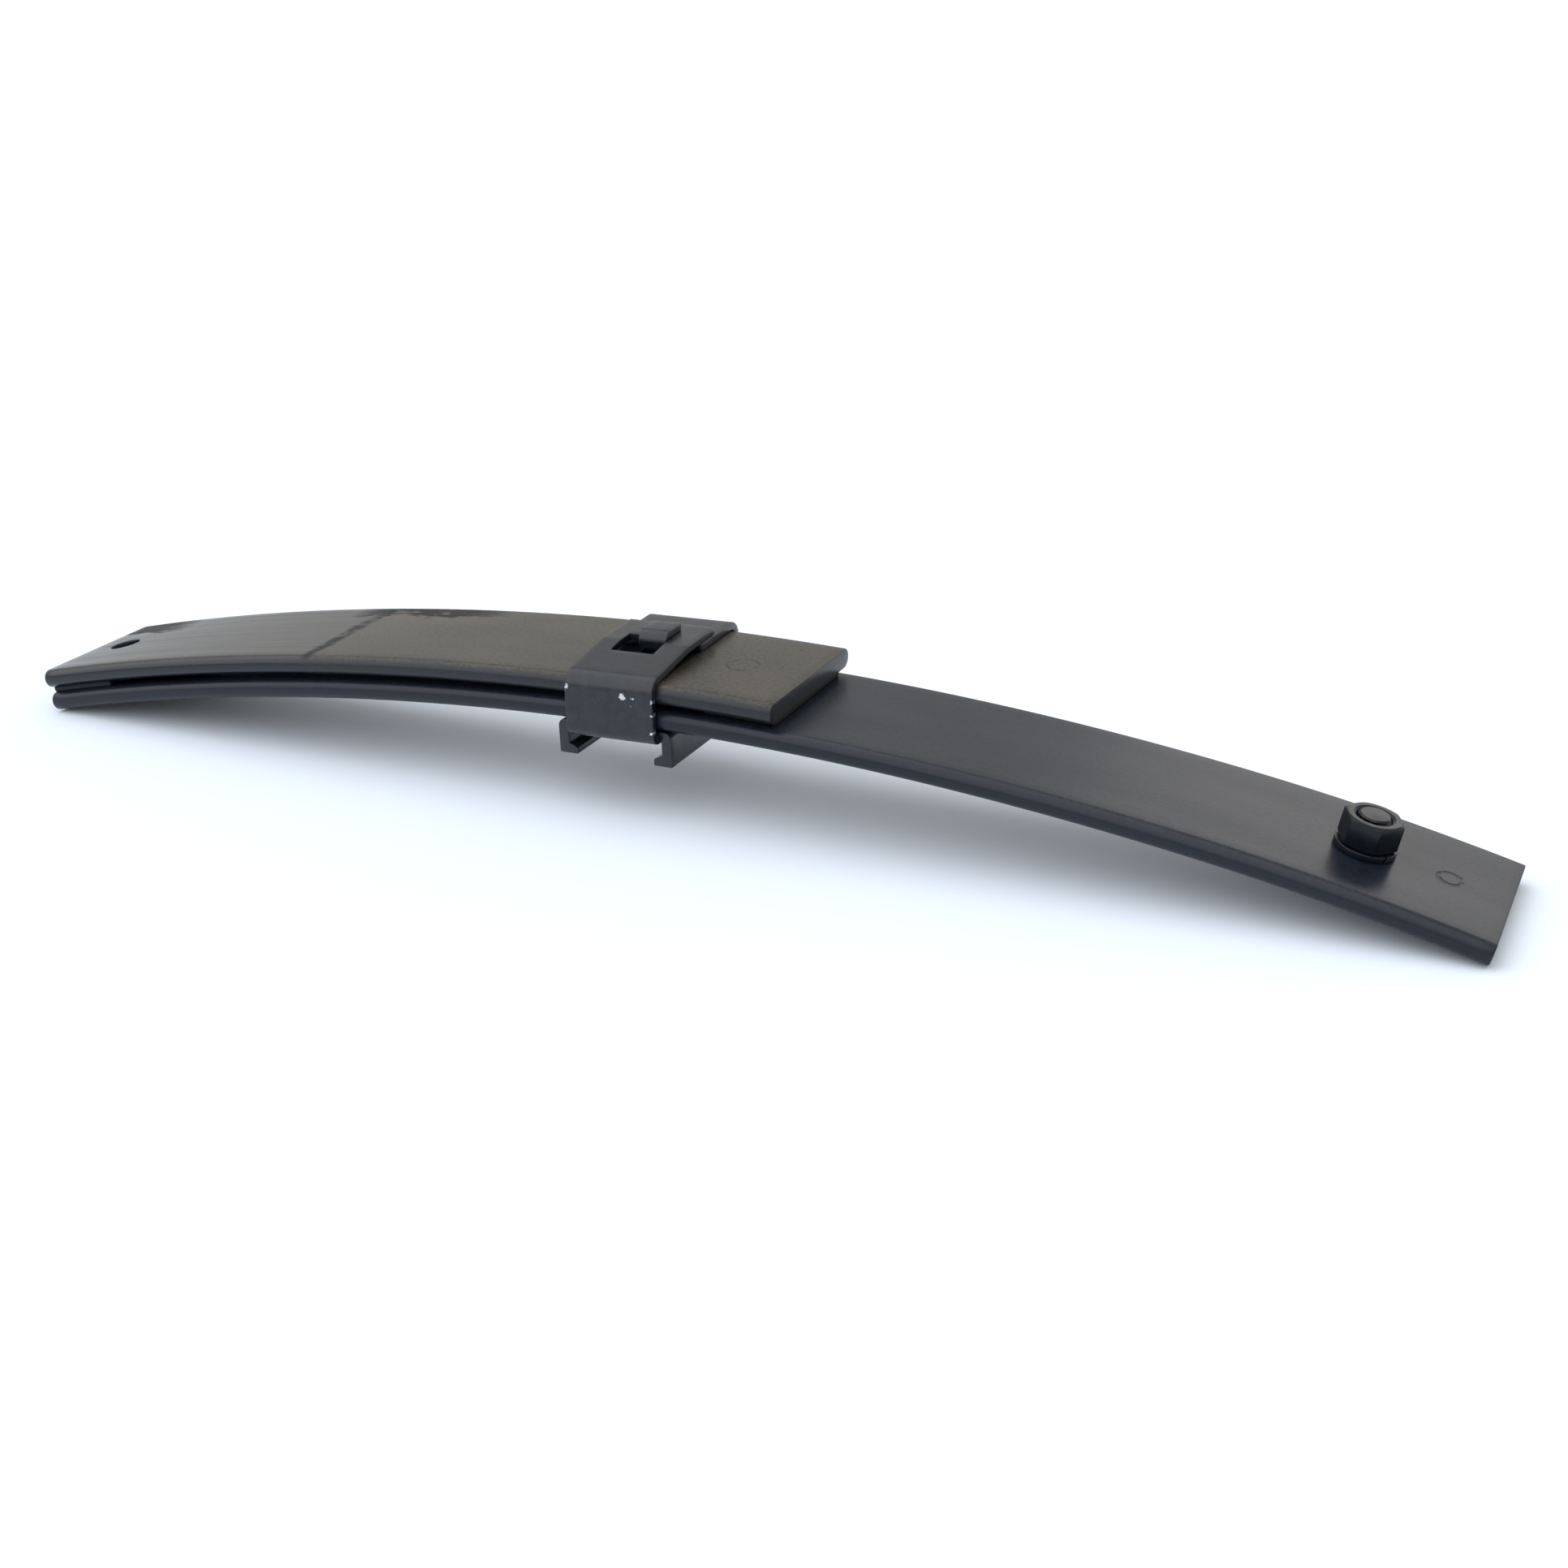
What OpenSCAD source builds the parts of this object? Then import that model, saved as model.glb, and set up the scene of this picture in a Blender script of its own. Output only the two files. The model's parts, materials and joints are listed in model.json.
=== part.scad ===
// Leaf spring: a full-length main leaf with a shorter leaf on its back, both clamped at one end,
// a folded strap clip in the middle and a bolt with a round locating head near the far end.
// Millimetres. The spring stands on its two tips, +X runs from the clamped end to the bolted end,
// and the origin is at the centre of the footprint, on the surface it stands on.

/* [Leaves] */
// Width of both leaves
leaf_w = 70; // [60:1:80]
// Thickness of both leaves
leaf_t = 8; // [7:0.5:9]
// Length of the main leaf, along its top
main_len = 608; // [580:2:640]
// Length of the upper leaf, along the main leaf's top
upper_len = 354; // [340:2:370]
// Space that the liners keep between the leaves
leaf_gap = 2.3; // [1.5:0.1:3.5]
// Radius of the main leaf's top over most of its length
arch_r = 1305; // [1150:5:1500]
// Radius of the main leaf's top in its last stretch, where it curls down a little more
tip_r = 970; // [800:5:1100]
// Length of the main leaf before that last stretch begins
tip_start = 510; // [460:2:520]

/* [Clamped end] */
// Diameter of the bolt hole through both leaves
root_hole_d = 13; // [11:0.5:15]
// Distance of that hole from the end
root_hole_s = 17.5; // [15:0.5:22]
// Length of the spacer between the leaves
spacer_len = 34; // [30:1:45]
// Width of that spacer
spacer_w = 63; // [58:1:68]

/* [Liner at the upper leaf's tip] */
// Length of the liner pad
liner_len = 30; // [24:1:40]
// Width of the liner pad
liner_w = 57; // [50:1:68]

/* [Clip] */
// Distance of the clip's middle from the clamped end
clip_s = 288.2; // [270:0.1:310]
// Width of the flat bar that the strap is bent from
strap_w = 36.6; // [30:0.2:38]
// Thickness of that bar
strap_t = 3; // [2:0.25:3.5]
// Side clearance between the strap and the leaves
strap_clear = 0.8; // [0.8:0.1:1.5]
// Angle by which the strap sits askew on the leaves
strap_skew = 2; // [0:0.5:2]
// Width of the lock tongue
tongue_w = 12; // [8:1:14]
// Thickness of the saddle's web under the main leaf
saddle_web = 2; // [2:0.2:3]
// Thickness of the saddle's flanges
saddle_flange = 4.2; // [3.5:0.1:5]
// Distance between the saddle's outer faces
saddle_span = 48.5; // [48:0.5:54]
// Depth of the saddle's flanges below the main leaf
saddle_drop = 13.7; // [12:0.1:16]

/* [Bolt] */
// Distance of the bolt from the clamped end
bolt_s = 558.5; // [548:0.5:575]
// Thread diameter of the bolt
bolt_d = 12; // [12:1:12]
// Diameter of the bolt's round head, which locates the spring
head_d = 20; // [18:0.5:24]
// Height of that head
head_h = 8; // [5:0.5:9]
// Width of the nut across its flats
nut_af = 18; // [18:0.5:19]
// Height of the nut
nut_h = 10; // [9:0.1:12]
// Angle of the nut from having a corner along the spring
nut_turn = -6; // [-30:1:30]

/* [Hidden] */

// How round the turned and rolled surfaces are drawn
arch_fn = 1440;
round_fn = 64;
// Largest angle between two points of a bar's bend
bend_step = 7.5;
// Thin clearance between faces that rest on each other
rest_gap = 0.05;
// How far a cutting tool runs past the faces it cuts
cut_past = 2;

// Height of the upper leaf's top, and of the strap's inner and outer layers, above the main leaf's top
upper_top = leaf_gap + leaf_t;
inner_z = upper_top + rest_gap;
outer_z = inner_z + strap_t + 2 * rest_gap;
// Half of the distance between the strap's inner side faces
strap_half = leaf_w / 2 + strap_clear;
// The strap's inside radius over the leaves' top edges and under the saddle
strap_top_r = leaf_t / 2;
strap_low_r = 2.5;
// Height at which the strap's sides run into the top bends
strap_shoulder = inner_z - strap_top_r;
// Run of the strap's outer layer from its end to the ramp, and how far the tongue reaches back
outer_run = 23;
tongue_run = 9;
// The ramp by which the outer layer climbs onto the inner one
ramp_angle = 7;
ramp_bend_r = 6;
ramp_run = (outer_z - strap_shoulder - strap_top_r * cos(ramp_angle) - ramp_bend_r * (1 - cos(ramp_angle)))
    / sin(ramp_angle);
// Where the outer layer ends, so that the near side clears the leaves
outer_end = outer_run + ramp_bend_r * sin(ramp_angle) + ramp_run * cos(ramp_angle)
    + strap_top_r * (1 - sin(ramp_angle)) - strap_half;
// The tongue's fold: its axis stands this far past the middle, and it clears the window's edge
fold_r = strap_t / 2 + rest_gap;
fold_y = 0.5;
window_far = fold_y + 0.3;
window_len = 16.5;
// The window is wider than the tongue, most of it to the tongue's left
window_w = tongue_w + 6;
tongue_x = 1.5;
window_x = -1.2;
// The full-width inner layer ends here; from there on only the tongue goes on
shoulder_end = 4;
tongue_lap = 1;
// How far the outer layer's underside drops within the window
ramp_drop = 1.6;

// The saddle's arch allowance: a flat plate under a curved leaf touches it along its two outer edges
saddle_w = leaf_w - 2;
saddle_z = -leaf_t - rest_gap - pow(saddle_span / 2, 2) / (2 * (arch_r - leaf_t));
saddle_bend_r = 3;
saddle_fillet_r = 0.5;
// The lip along each flange's lower edge: how far it reaches inwards, and its depth at its tip
lip_run = 3.6;
lip_depth = 2.6;
lip_rise = 1.5;
strap_low_z = saddle_z - saddle_web - rest_gap;

// The bolt sits in a clearance hole, and its head touches the hollow side of the leaf at its rim
bolt_clear = 0.5;
head_z = -leaf_t - rest_gap - pow(head_d / 2, 2) / (2 * (tip_r - leaf_t));
thread_clear = 0.06;
washer_d = 21.1;
washer_hole_d = 12.3;
washer_t = 2.5;
washer_split = 1.2;
nut_z = washer_t + 2 * rest_gap;
bolt_end_z = nut_z + nut_h + 0.6;
split_angle = -40;
split_slant = 25;
head_chamfer = 1;
end_chamfer = 1.2;
// The nut's corners stand out from the circle where its chamfer meets its face
nut_chamfer_angle = 20;
nut_face_r = nut_af / 2 * 0.97;
nut_corner_r = nut_af / 2 / cos(30) + 0.1;
nut_chamfer = (nut_corner_r - nut_face_r) * tan(nut_chamfer_angle);
nut_sink = 0.6;

// The arch: two arcs that share a tangent. An angle is measured from straight up, rising to +X.
arch_turn = tip_start / arch_r * 180 / PI;
tip_turn = (main_len - tip_start) / tip_r * 180 / PI;
// The main leaf's lower corners at both ends rest on the ground, which fixes how far it leans
lean = lean_for_flat_rest(13.5, 6);

function arch_point(angle, r, cx, cz) = [cx + r * sin(angle), cz + r * cos(angle)];
// Lower corner of each end, for a lean angle a, from the centre of the larger arc
function root_corner(a) = arch_point(-a, arch_r - leaf_t, 0, 0);
function tip_centre(a) = arch_point(arch_turn - a, arch_r - tip_r, 0, 0);
function tip_corner(a) = arch_point(arch_turn + tip_turn - a, tip_r - leaf_t, tip_centre(a)[0], tip_centre(a)[1]);
// Each step turns the arch by the slope that is left between its two corners
function slope_between(from, to) = atan2(to[1] - from[1], to[0] - from[0]);
function lean_for_flat_rest(a, steps) =
    steps == 0 ? a : lean_for_flat_rest(a - slope_between(root_corner(a), tip_corner(a)), steps - 1);

// The origin is midway between the two end faces' outermost corners
left_x = (arch_r + leaf_gap + leaf_t) * sin(-lean);
right_x = tip_centre(lean)[0] + tip_r * sin(arch_turn + tip_turn - lean);
arch_x = -(left_x + right_x) / 2;
arch_z = -root_corner(lean)[1];

// Turns the larger arc's axis so that straight up meets the main leaf at this distance along it
module at_arc(s)
    translate([arch_x, 0, arch_z])
        rotate([0, s / arch_r * 180 / PI - lean, 0]) children();

// Places its children at a distance along the main leaf's top, with +Z square to the leaf
module on_leaf(s) {
    if (s <= tip_start)
        at_arc(s) translate([0, 0, arch_r]) children();
    else
        at_arc(tip_start)
            translate([0, 0, arch_r - tip_r])
                rotate([0, (s - tip_start) / tip_r * 180 / PI, 0])
                    translate([0, 0, tip_r]) children();
}

// A flat bar's section, half-round at both edges, with its top at the given radius
module bar_section(top_r, w, t) {
    translate([top_r - t, -w / 2 + t / 2]) square([t, w - t]);
    for (side = [-1, 1])
        translate([top_r - t / 2, side * (w / 2 - t / 2)]) circle(d = t, $fn = round_fn);
}

// Bends a section along an arc about the Y axis, from straight up towards -X
module bent(turn)
    rotate([90, 0, 0])
        rotate([0, 0, 90])
            rotate_extrude(angle = turn, $fn = arch_fn) children();

// Bends a section along the larger arc, between two distances along the main leaf
module bent_between(from_s, to_s)
    at_arc(to_s) bent((to_s - from_s) / arch_r * 180 / PI) children();

// The root hole, through everything that is stacked there
module root_hole()
    on_leaf(root_hole_s)
        translate([0, 0, -leaf_t - cut_past])
            cylinder(d = root_hole_d, h = 2 * leaf_t + leaf_gap + 2 * cut_past, $fn = round_fn);

// A pad between the leaves, bent as they are
module pad(from_s, to_s, w)
    bent_between(from_s, to_s)
        translate([arch_r + rest_gap, -w / 2]) square([leaf_gap - 2 * rest_gap, w]);

module main_leaf() color([0.16, 0.16, 0.17])
    difference() {
        union() {
            bent_between(0, tip_start) bar_section(arch_r, leaf_w, leaf_t);
            at_arc(tip_start)
                translate([0, 0, arch_r - tip_r])
                    mirror([1, 0, 0])
                        bent(tip_turn) bar_section(tip_r, leaf_w, leaf_t);
        }
        root_hole();
        on_leaf(bolt_s)
            translate([0, 0, -leaf_t - cut_past])
                cylinder(d = bolt_d + bolt_clear, h = leaf_t + 2 * cut_past, $fn = round_fn);
    }

module upper_leaf() color([0.2, 0.2, 0.2])
    difference() {
        bent_between(0, upper_len) bar_section(arch_r + leaf_gap + leaf_t, leaf_w, leaf_t);
        root_hole();
    }

module root_spacer() color([0.3, 0.3, 0.31])
    difference() {
        pad(0, spacer_len, spacer_w);
        root_hole();
    }

module tip_liner() color([0.08, 0.08, 0.08])
    pad(upper_len - liner_len, upper_len - 1, liner_w);

// Points of one face of a flat bar that is bent along a path in the X-Y plane, from the origin along
// +X. The path is the bar's left face, and face_t is the depth of the wanted face below it, 0 or t.
// A step is [length, turn to the left, inside radius of the turn]; a negative turn goes right.
function left_of(heading) = [-sin(heading), cos(heading)];
function bar_face(path, t, face_t, step = 0, at = [0, 0], heading = 0) =
    step == len(path) ? [] :
    let(
        turn = path[step][1],
        // Distance from the path to the turn's axis, to the left
        axis_d = turn > 0 ? path[step][2] : -(path[step][2] + t),
        end = at + path[step][0] * [cos(heading), sin(heading)],
        axis = end + axis_d * left_of(heading),
        parts = max(1, ceil(abs(turn) / bend_step)),
        arc = [for (i = [0:parts]) axis - (axis_d + face_t) * left_of(heading + turn * i / parts)]
    )
    concat(
        step == 0 ? [at - face_t * left_of(heading)] : [],
        turn == 0 ? [end - face_t * left_of(heading)] : arc,
        bar_face(path, t, face_t, step + 1, axis - axis_d * left_of(heading + turn), heading + turn)
    );

function reversed(points) = [for (i = [len(points) - 1:-1:0]) points[i]];

// A flat bar of width w and thickness t bent along such a path, centred on the plane
module bent_bar(path, w, t)
    linear_extrude(height = w, center = true)
        polygon(concat(bar_face(path, t, 0), reversed(bar_face(path, t, t))));

// A lock strap bent from one bar: the inner layer crosses the top from the far side, and the outer
// layer climbs over it from the near side. The tongue comes up through the outer layer's window and
// is folded back over it.
module clip_strap() color([0.2, 0.21, 0.23])
    on_leaf(clip_s)
        rotate([0, 0, strap_skew]) {
            side_run = strap_shoulder - strap_low_z - strap_low_r;
            difference() {
                translate([0, outer_end, outer_z])
                    across() bent_bar([
                        [outer_run, ramp_angle, ramp_bend_r],
                        [ramp_run, 90 - ramp_angle, strap_top_r],
                        [side_run, 90, strap_low_r],
                        [2 * (strap_half - strap_low_r), 90, strap_low_r],
                        [side_run, 90, strap_top_r],
                        [strap_half - strap_top_r - shoulder_end, 0, 0],
                    ], strap_w, strap_t);
                translate([window_x - window_w / 2, window_far - window_len, outer_z - ramp_drop])
                    cube([window_w, window_len, strap_t + ramp_drop + cut_past]);
            }
            translate([tongue_x, shoulder_end + tongue_lap, inner_z])
                across() bent_bar([
                    [shoulder_end + tongue_lap - fold_y, -180, fold_r],
                    [tongue_run, 0, 0],
                ], tongue_w, strap_t);
        }

// Turns a bar bent in the X-Y plane so that its path starts along -Y and its left is down
module across() rotate([-90, 0, 0]) rotate([0, 90, 0]) children();

// A quarter circle of points about [x, z], from one angle to another
function quarter(x, z, r, from, to) =
    [for (i = [0:6]) [x + r * cos(from + (to - from) * i / 6), z + r * sin(from + (to - from) * i / 6)]];

// Half of the saddle's outline, from the web's top round the flange and its lip to the web's
// underside. The web's top is at 0.
function saddle_half() =
    let(out = saddle_span / 2, in = out - saddle_flange, low = -saddle_drop)
    concat(
        quarter(out - saddle_bend_r, -saddle_bend_r, saddle_bend_r, 90, 0),
        [[out, low], [in - lip_run, low], [in - lip_run, low + lip_depth], [in, low + lip_depth + lip_rise]],
        quarter(in - saddle_fillet_r, -saddle_web - saddle_fillet_r, saddle_fillet_r, 0, 90)
    );

// A channel under the main leaf. Its flanges keep the strap in place, and their lips turn inwards.
module clip_saddle() color([0.2, 0.21, 0.23])
    on_leaf(clip_s)
        translate([0, 0, saddle_z])
            rotate([90, 0, 0])
                linear_extrude(height = saddle_w, center = true)
                    polygon(concat(saddle_half(), [for (p = reversed(saddle_half())) [-p[0], p[1]]]));

// A bolt whose round head locates the spring in its seat
module centre_bolt() color([0.18, 0.18, 0.19])
    on_leaf(bolt_s)
        rotate_extrude($fn = round_fn)
            polygon([
                [0, head_z - head_h],
                [head_d / 2 - head_chamfer, head_z - head_h],
                [head_d / 2, head_z - head_h + head_chamfer],
                [head_d / 2, head_z],
                [bolt_d / 2, head_z],
                [bolt_d / 2, bolt_end_z - end_chamfer],
                [bolt_d / 2 - end_chamfer, bolt_end_z],
                [0, bolt_end_z],
            ]);

// A split spring washer
module lock_washer() color([0.18, 0.18, 0.19])
    on_leaf(bolt_s)
        translate([0, 0, rest_gap])
            difference() {
                cylinder(d = washer_d, h = washer_t, $fn = round_fn);
                translate([0, 0, -cut_past])
                    cylinder(d = washer_hole_d, h = washer_t + 2 * cut_past, $fn = round_fn);
                rotate([0, 0, split_angle])
                    translate([washer_d / 4, 0, washer_t / 2])
                        rotate([split_slant, 0, 0])
                            cube([washer_d, washer_split, 3 * washer_t], center = true);
            }

// A hexagon nut, chamfered on both faces
module nut() color([0.18, 0.18, 0.19])
    on_leaf(bolt_s)
        translate([0, 0, nut_z])
            rotate([0, 0, nut_turn]) difference() {
                intersection() {
                    cylinder(d = nut_af / cos(30), h = nut_h, $fn = 6);
                    rotate_extrude($fn = round_fn)
                        polygon([
                            [0, 0],
                            [nut_face_r, 0],
                            [nut_corner_r, nut_chamfer],
                            [nut_corner_r, nut_h - nut_chamfer],
                            [nut_face_r, nut_h],
                            [0, nut_h],
                        ]);
                }
                translate([0, 0, -cut_past])
                    cylinder(d = bolt_d + thread_clear, h = nut_h + 2 * cut_past, $fn = round_fn);
                translate([0, 0, nut_h - nut_sink])
                    cylinder(d1 = bolt_d, d2 = bolt_d + 4 * nut_sink, h = 2 * nut_sink, $fn = round_fn);
            }

main_leaf();
upper_leaf();
root_spacer();
tip_liner();
clip_saddle();
clip_strap();
centre_bolt();
lock_washer();
nut();
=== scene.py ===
"""Leaf spring: two rolled spring-steel leaves, the strap clip that ties them, and the bolt near one tip.

Metres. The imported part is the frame: +X runs from the clamped end to the bolted end.
"""

import functools
import json
import math

import bmesh
import bpy
import numpy as np
from mathutils import Matrix, Vector


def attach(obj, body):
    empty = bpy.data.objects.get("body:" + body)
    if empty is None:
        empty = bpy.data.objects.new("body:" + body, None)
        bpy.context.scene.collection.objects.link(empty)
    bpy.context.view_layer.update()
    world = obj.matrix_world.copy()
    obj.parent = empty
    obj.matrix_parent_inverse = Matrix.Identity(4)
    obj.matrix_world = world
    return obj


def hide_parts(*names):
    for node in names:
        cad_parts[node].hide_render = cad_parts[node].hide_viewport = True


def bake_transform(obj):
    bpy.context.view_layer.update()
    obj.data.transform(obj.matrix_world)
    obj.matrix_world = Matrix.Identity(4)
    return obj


bl_info = {
    "name": "Leaf spring",
    "version": (1, 0, 0),
    "blender": (4, 5, 0),
    "location": "View3D > Sidebar > Leaf spring",
    "description": "Builds a two-leaf spring with its strap clip and its bolt",
    "category": "Object",
}

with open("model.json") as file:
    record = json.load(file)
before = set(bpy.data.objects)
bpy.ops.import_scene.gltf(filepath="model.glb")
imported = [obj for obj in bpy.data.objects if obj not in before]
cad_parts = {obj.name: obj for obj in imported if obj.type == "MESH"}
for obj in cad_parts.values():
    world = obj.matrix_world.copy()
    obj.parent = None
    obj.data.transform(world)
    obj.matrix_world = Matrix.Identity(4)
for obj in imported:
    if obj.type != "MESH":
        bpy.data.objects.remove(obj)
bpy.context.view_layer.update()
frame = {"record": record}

MM = 0.001
# Air left between faces that rest on each other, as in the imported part
REST_GAP = 0.05 * MM
# Edges that turn more than this are drawn sharp
SHARP_ANGLE = math.radians(32)
# Slack when a place on a grid is compared with a limit
HAIR = 1e-7


def linear(hex_colour):
    """An sRGB hex colour as three linear numbers."""
    parts = [int(hex_colour[i : i + 2], 16) / 255 for i in (1, 3, 5)]
    return tuple(p / 12.92 if p <= 0.04045 else ((p + 0.055) / 1.055) ** 2.4 for p in parts)


# ---------------------------------------------------------------- sizes and colours


def size_setting(name, description, metres):
    """A size that a user may change."""
    return bpy.props.FloatProperty(name=name, description=description, default=metres, unit="LENGTH")


def angle_setting(name, description, degrees):
    """An angle that a user may change."""
    return bpy.props.FloatProperty(
        name=name, description=description, default=math.radians(degrees), unit="ROTATION"
    )


def colour_setting(name, description, hex_colour):
    """A colour that a user may change."""
    return bpy.props.FloatVectorProperty(
        name=name, description=description, default=linear(hex_colour), subtype="COLOR", size=3
    )


class LeafSizes(bpy.types.PropertyGroup):
    """Sizes of the two leaves and of the pads between them."""

    main_len: size_setting("Main leaf", "Length along its top", 0.608)
    upper_len: size_setting("Upper leaf", "Length along the main leaf", 0.354)
    width: size_setting("Width", "Width of both leaves", 0.070)
    thick: size_setting("Thickness", "Thickness of both leaves", 0.008)
    gap: size_setting("Gap", "Space between the leaves", 0.0023)
    arch_r: size_setting("Arch radius", "Radius of the main leaf's top", 1.305)
    tip_r: size_setting("Tip radius", "Radius of its last stretch", 0.970)
    tip_start: size_setting("Tip start", "Where that stretch begins", 0.510)
    hole_s: size_setting("Root hole", "Distance from the clamped end", 0.0175)
    hole_r: size_setting("Root hole radius", "Radius of the root hole", 0.0065)
    spacer_len: size_setting("Spacer length", "Shim at the clamped end", 0.034)
    spacer_w: size_setting("Spacer width", "Width of the shim", 0.063)
    liner_len: size_setting("Liner length", "Pad under the upper leaf's tip", 0.030)
    liner_w: size_setting("Liner width", "Width of the pad", 0.057)


class ClipSizes(bpy.types.PropertyGroup):
    """Sizes of the strap and of the saddle under the main leaf."""

    middle_s: size_setting("Middle", "Distance from the clamped end", 0.2882)
    skew: angle_setting("Skew", "Turn of the strap on the leaves", 2)
    bar_w: size_setting("Bar width", "Width of the strap's flat bar", 0.0366)
    bar_t: size_setting("Bar thickness", "Thickness of the flat bar", 0.003)
    side_clear: size_setting("Side clearance", "Air beside the leaves", 0.0008)
    tongue_w: size_setting("Tongue", "Width of the lock tongue", 0.012)
    window_w: size_setting("Window width", "Width of the tongue's window", 0.018)
    window_len: size_setting("Window length", "Length of the window", 0.0165)
    saddle_web: size_setting("Saddle web", "Thickness of its web", 0.002)
    saddle_flange: size_setting("Saddle flange", "Thickness of its flanges", 0.0042)
    saddle_span: size_setting("Saddle span", "Over its outer faces", 0.0485)
    saddle_drop: size_setting("Saddle drop", "Depth of its flanges", 0.0137)


class BoltSizes(bpy.types.PropertyGroup):
    """Sizes of the bolt, nut and spring washer."""

    middle_s: size_setting("Bolt", "Distance from the clamped end", 0.5585)
    thread_d: size_setting("Thread", "Outside diameter of the thread", 0.012)
    pitch: size_setting("Pitch", "Pitch of the thread", 0.00175)
    head_d: size_setting("Head", "Diameter of the locating head", 0.020)
    head_h: size_setting("Head height", "Height of the head", 0.008)
    nut_af: size_setting("Nut", "Width across the flats", 0.018)
    nut_h: size_setting("Nut height", "Height of the nut", 0.010)
    nut_turn: angle_setting("Nut turn", "Turn from a corner along the spring", -6)
    washer_d: size_setting("Washer", "Outside diameter of the washer", 0.0211)
    washer_t: size_setting("Washer thickness", "Thickness of the washer", 0.0025)


class FinishColours(bpy.types.PropertyGroup):
    """Colours of the paint, the bare metal, the plastic and the studio."""

    enamel: colour_setting("Enamel", "Chassis paint", "#08121e")
    upper_dust: colour_setting("Upper dust", "Dust on the upper leaf", "#3c3829")
    main_dust: colour_setting("Main dust", "Dust on all other paint", "#262a33")
    witness: colour_setting("Clamp mark", "Dark smear left by a clamp", "#14161b")
    scale: colour_setting("Mill scale", "Dark scaled patch", "#151016")
    rust: colour_setting("Rust", "Flecks in the scale", "#6a4a40")
    clip_paint: colour_setting("Clip paint", "Paint on the clip", "#0a1018")
    bolt_paint: colour_setting("Bolt paint", "Paint on the bolt", "#050a12")
    steel: colour_setting("Bare steel", "Steel in a chip", "#c9cdd0")
    plastic: colour_setting("Liner plastic", "Black nylon", "#0c0c0d")
    floor: colour_setting("Floor", "Studio floor paint", "#e7eff8")


class StageSizes(bpy.types.PropertyGroup):
    """Where the camera stands and how strong the light is."""

    place: bpy.props.FloatVectorProperty(
        name="Camera",
        description="Place of the camera",
        subtype="TRANSLATION",
        size=3,
        default=(0.359362, -0.663431, 0.320769),
    )
    azimuth: angle_setting("Azimuth", "Turn from looking along +Y", 28.274)
    elevation: angle_setting("Elevation", "Tilt below level", 22.185)
    roll: angle_setting("Roll", "Turn about the line of sight", -2.204)
    lens: bpy.props.FloatProperty(
        name="Lens", description="Focal length", default=48.137, subtype="DISTANCE_CAMERA"
    )
    shift: bpy.props.FloatVectorProperty(
        name="Shift", description="Lens shift", size=2, default=(0.05526, -0.01893)
    )
    daylight: bpy.props.FloatProperty(
        name="Room light", description="Strength of the light from all round", default=0.73, min=0
    )
    overhead: bpy.props.FloatProperty(
        name="Overhead light", description="Strength of the light from above", default=2.2, min=0
    )


class SpringSettings(bpy.types.PropertyGroup):
    """Everything that a user may change."""

    leaves: bpy.props.PointerProperty(type=LeafSizes, name="Leaves", description="Leaf sizes")
    clip: bpy.props.PointerProperty(type=ClipSizes, name="Clip", description="Clip sizes")
    bolt: bpy.props.PointerProperty(type=BoltSizes, name="Bolt", description="Bolt sizes")
    finish: bpy.props.PointerProperty(type=FinishColours, name="Finish", description="Colours")
    stage: bpy.props.PointerProperty(type=StageSizes, name="Stage", description="Camera and light")


def settings():
    return bpy.context.scene.leaf_spring


# ---------------------------------------------------------------- the arch line


ROOT_HOLE = next(m for m in frame["record"]["mounts"] if m["name"] == "root_bolt_hole")


def arch_angle(s):
    """Angle of the main leaf's normal from straight up, towards +X, at a distance along its top."""
    leaves = settings().leaves
    start = math.atan2(ROOT_HOLE["axis"][0], ROOT_HOLE["axis"][2])
    s = np.asarray(s, float)
    past = np.maximum(s - leaves.tip_start, 0)
    return start + (s - past - leaves.hole_s) / leaves.arch_r + past / leaves.tip_r


def on_arch(s, y, h):
    """Points at distance s along the main leaf's top, y across it and h above it."""
    leaves = settings().leaves
    # The hole's mount is in the middle of the stack of two leaves, on the larger arc's radius
    reach = leaves.arch_r + leaves.gap / 2
    x, _, z = (p - a * reach for p, a in zip(ROOT_HOLE["pos_m"], ROOT_HOLE["axis"]))
    turn = arch_angle(s)
    join = arch_angle(leaves.tip_start)
    past = np.asarray(s, float) > leaves.tip_start
    shift = np.where(past, leaves.arch_r - leaves.tip_r, 0)
    radius = np.where(past, leaves.tip_r, leaves.arch_r) + h
    px = x + shift * np.sin(join) + radius * np.sin(turn)
    pz = z + shift * np.cos(join) + radius * np.cos(turn)
    return np.stack(np.broadcast_arrays(px, y, pz), axis=-1)


def seat_at(s):
    """A matrix that stands a rigid piece on the main leaf: +Z square to it, +X along it."""
    turn = float(arch_angle(s))
    place = Vector(on_arch(s, 0, 0))
    return Matrix.Translation(place) @ Matrix.Rotation(turn, 4, "Y")


def leaf_point(s):
    """A point in the middle of the main leaf's thickness, in the part's frame."""
    return tuple(float(v) for v in on_arch(s, 0, -settings().leaves.thick / 2))


# ---------------------------------------------------------------- mesh helpers


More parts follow.
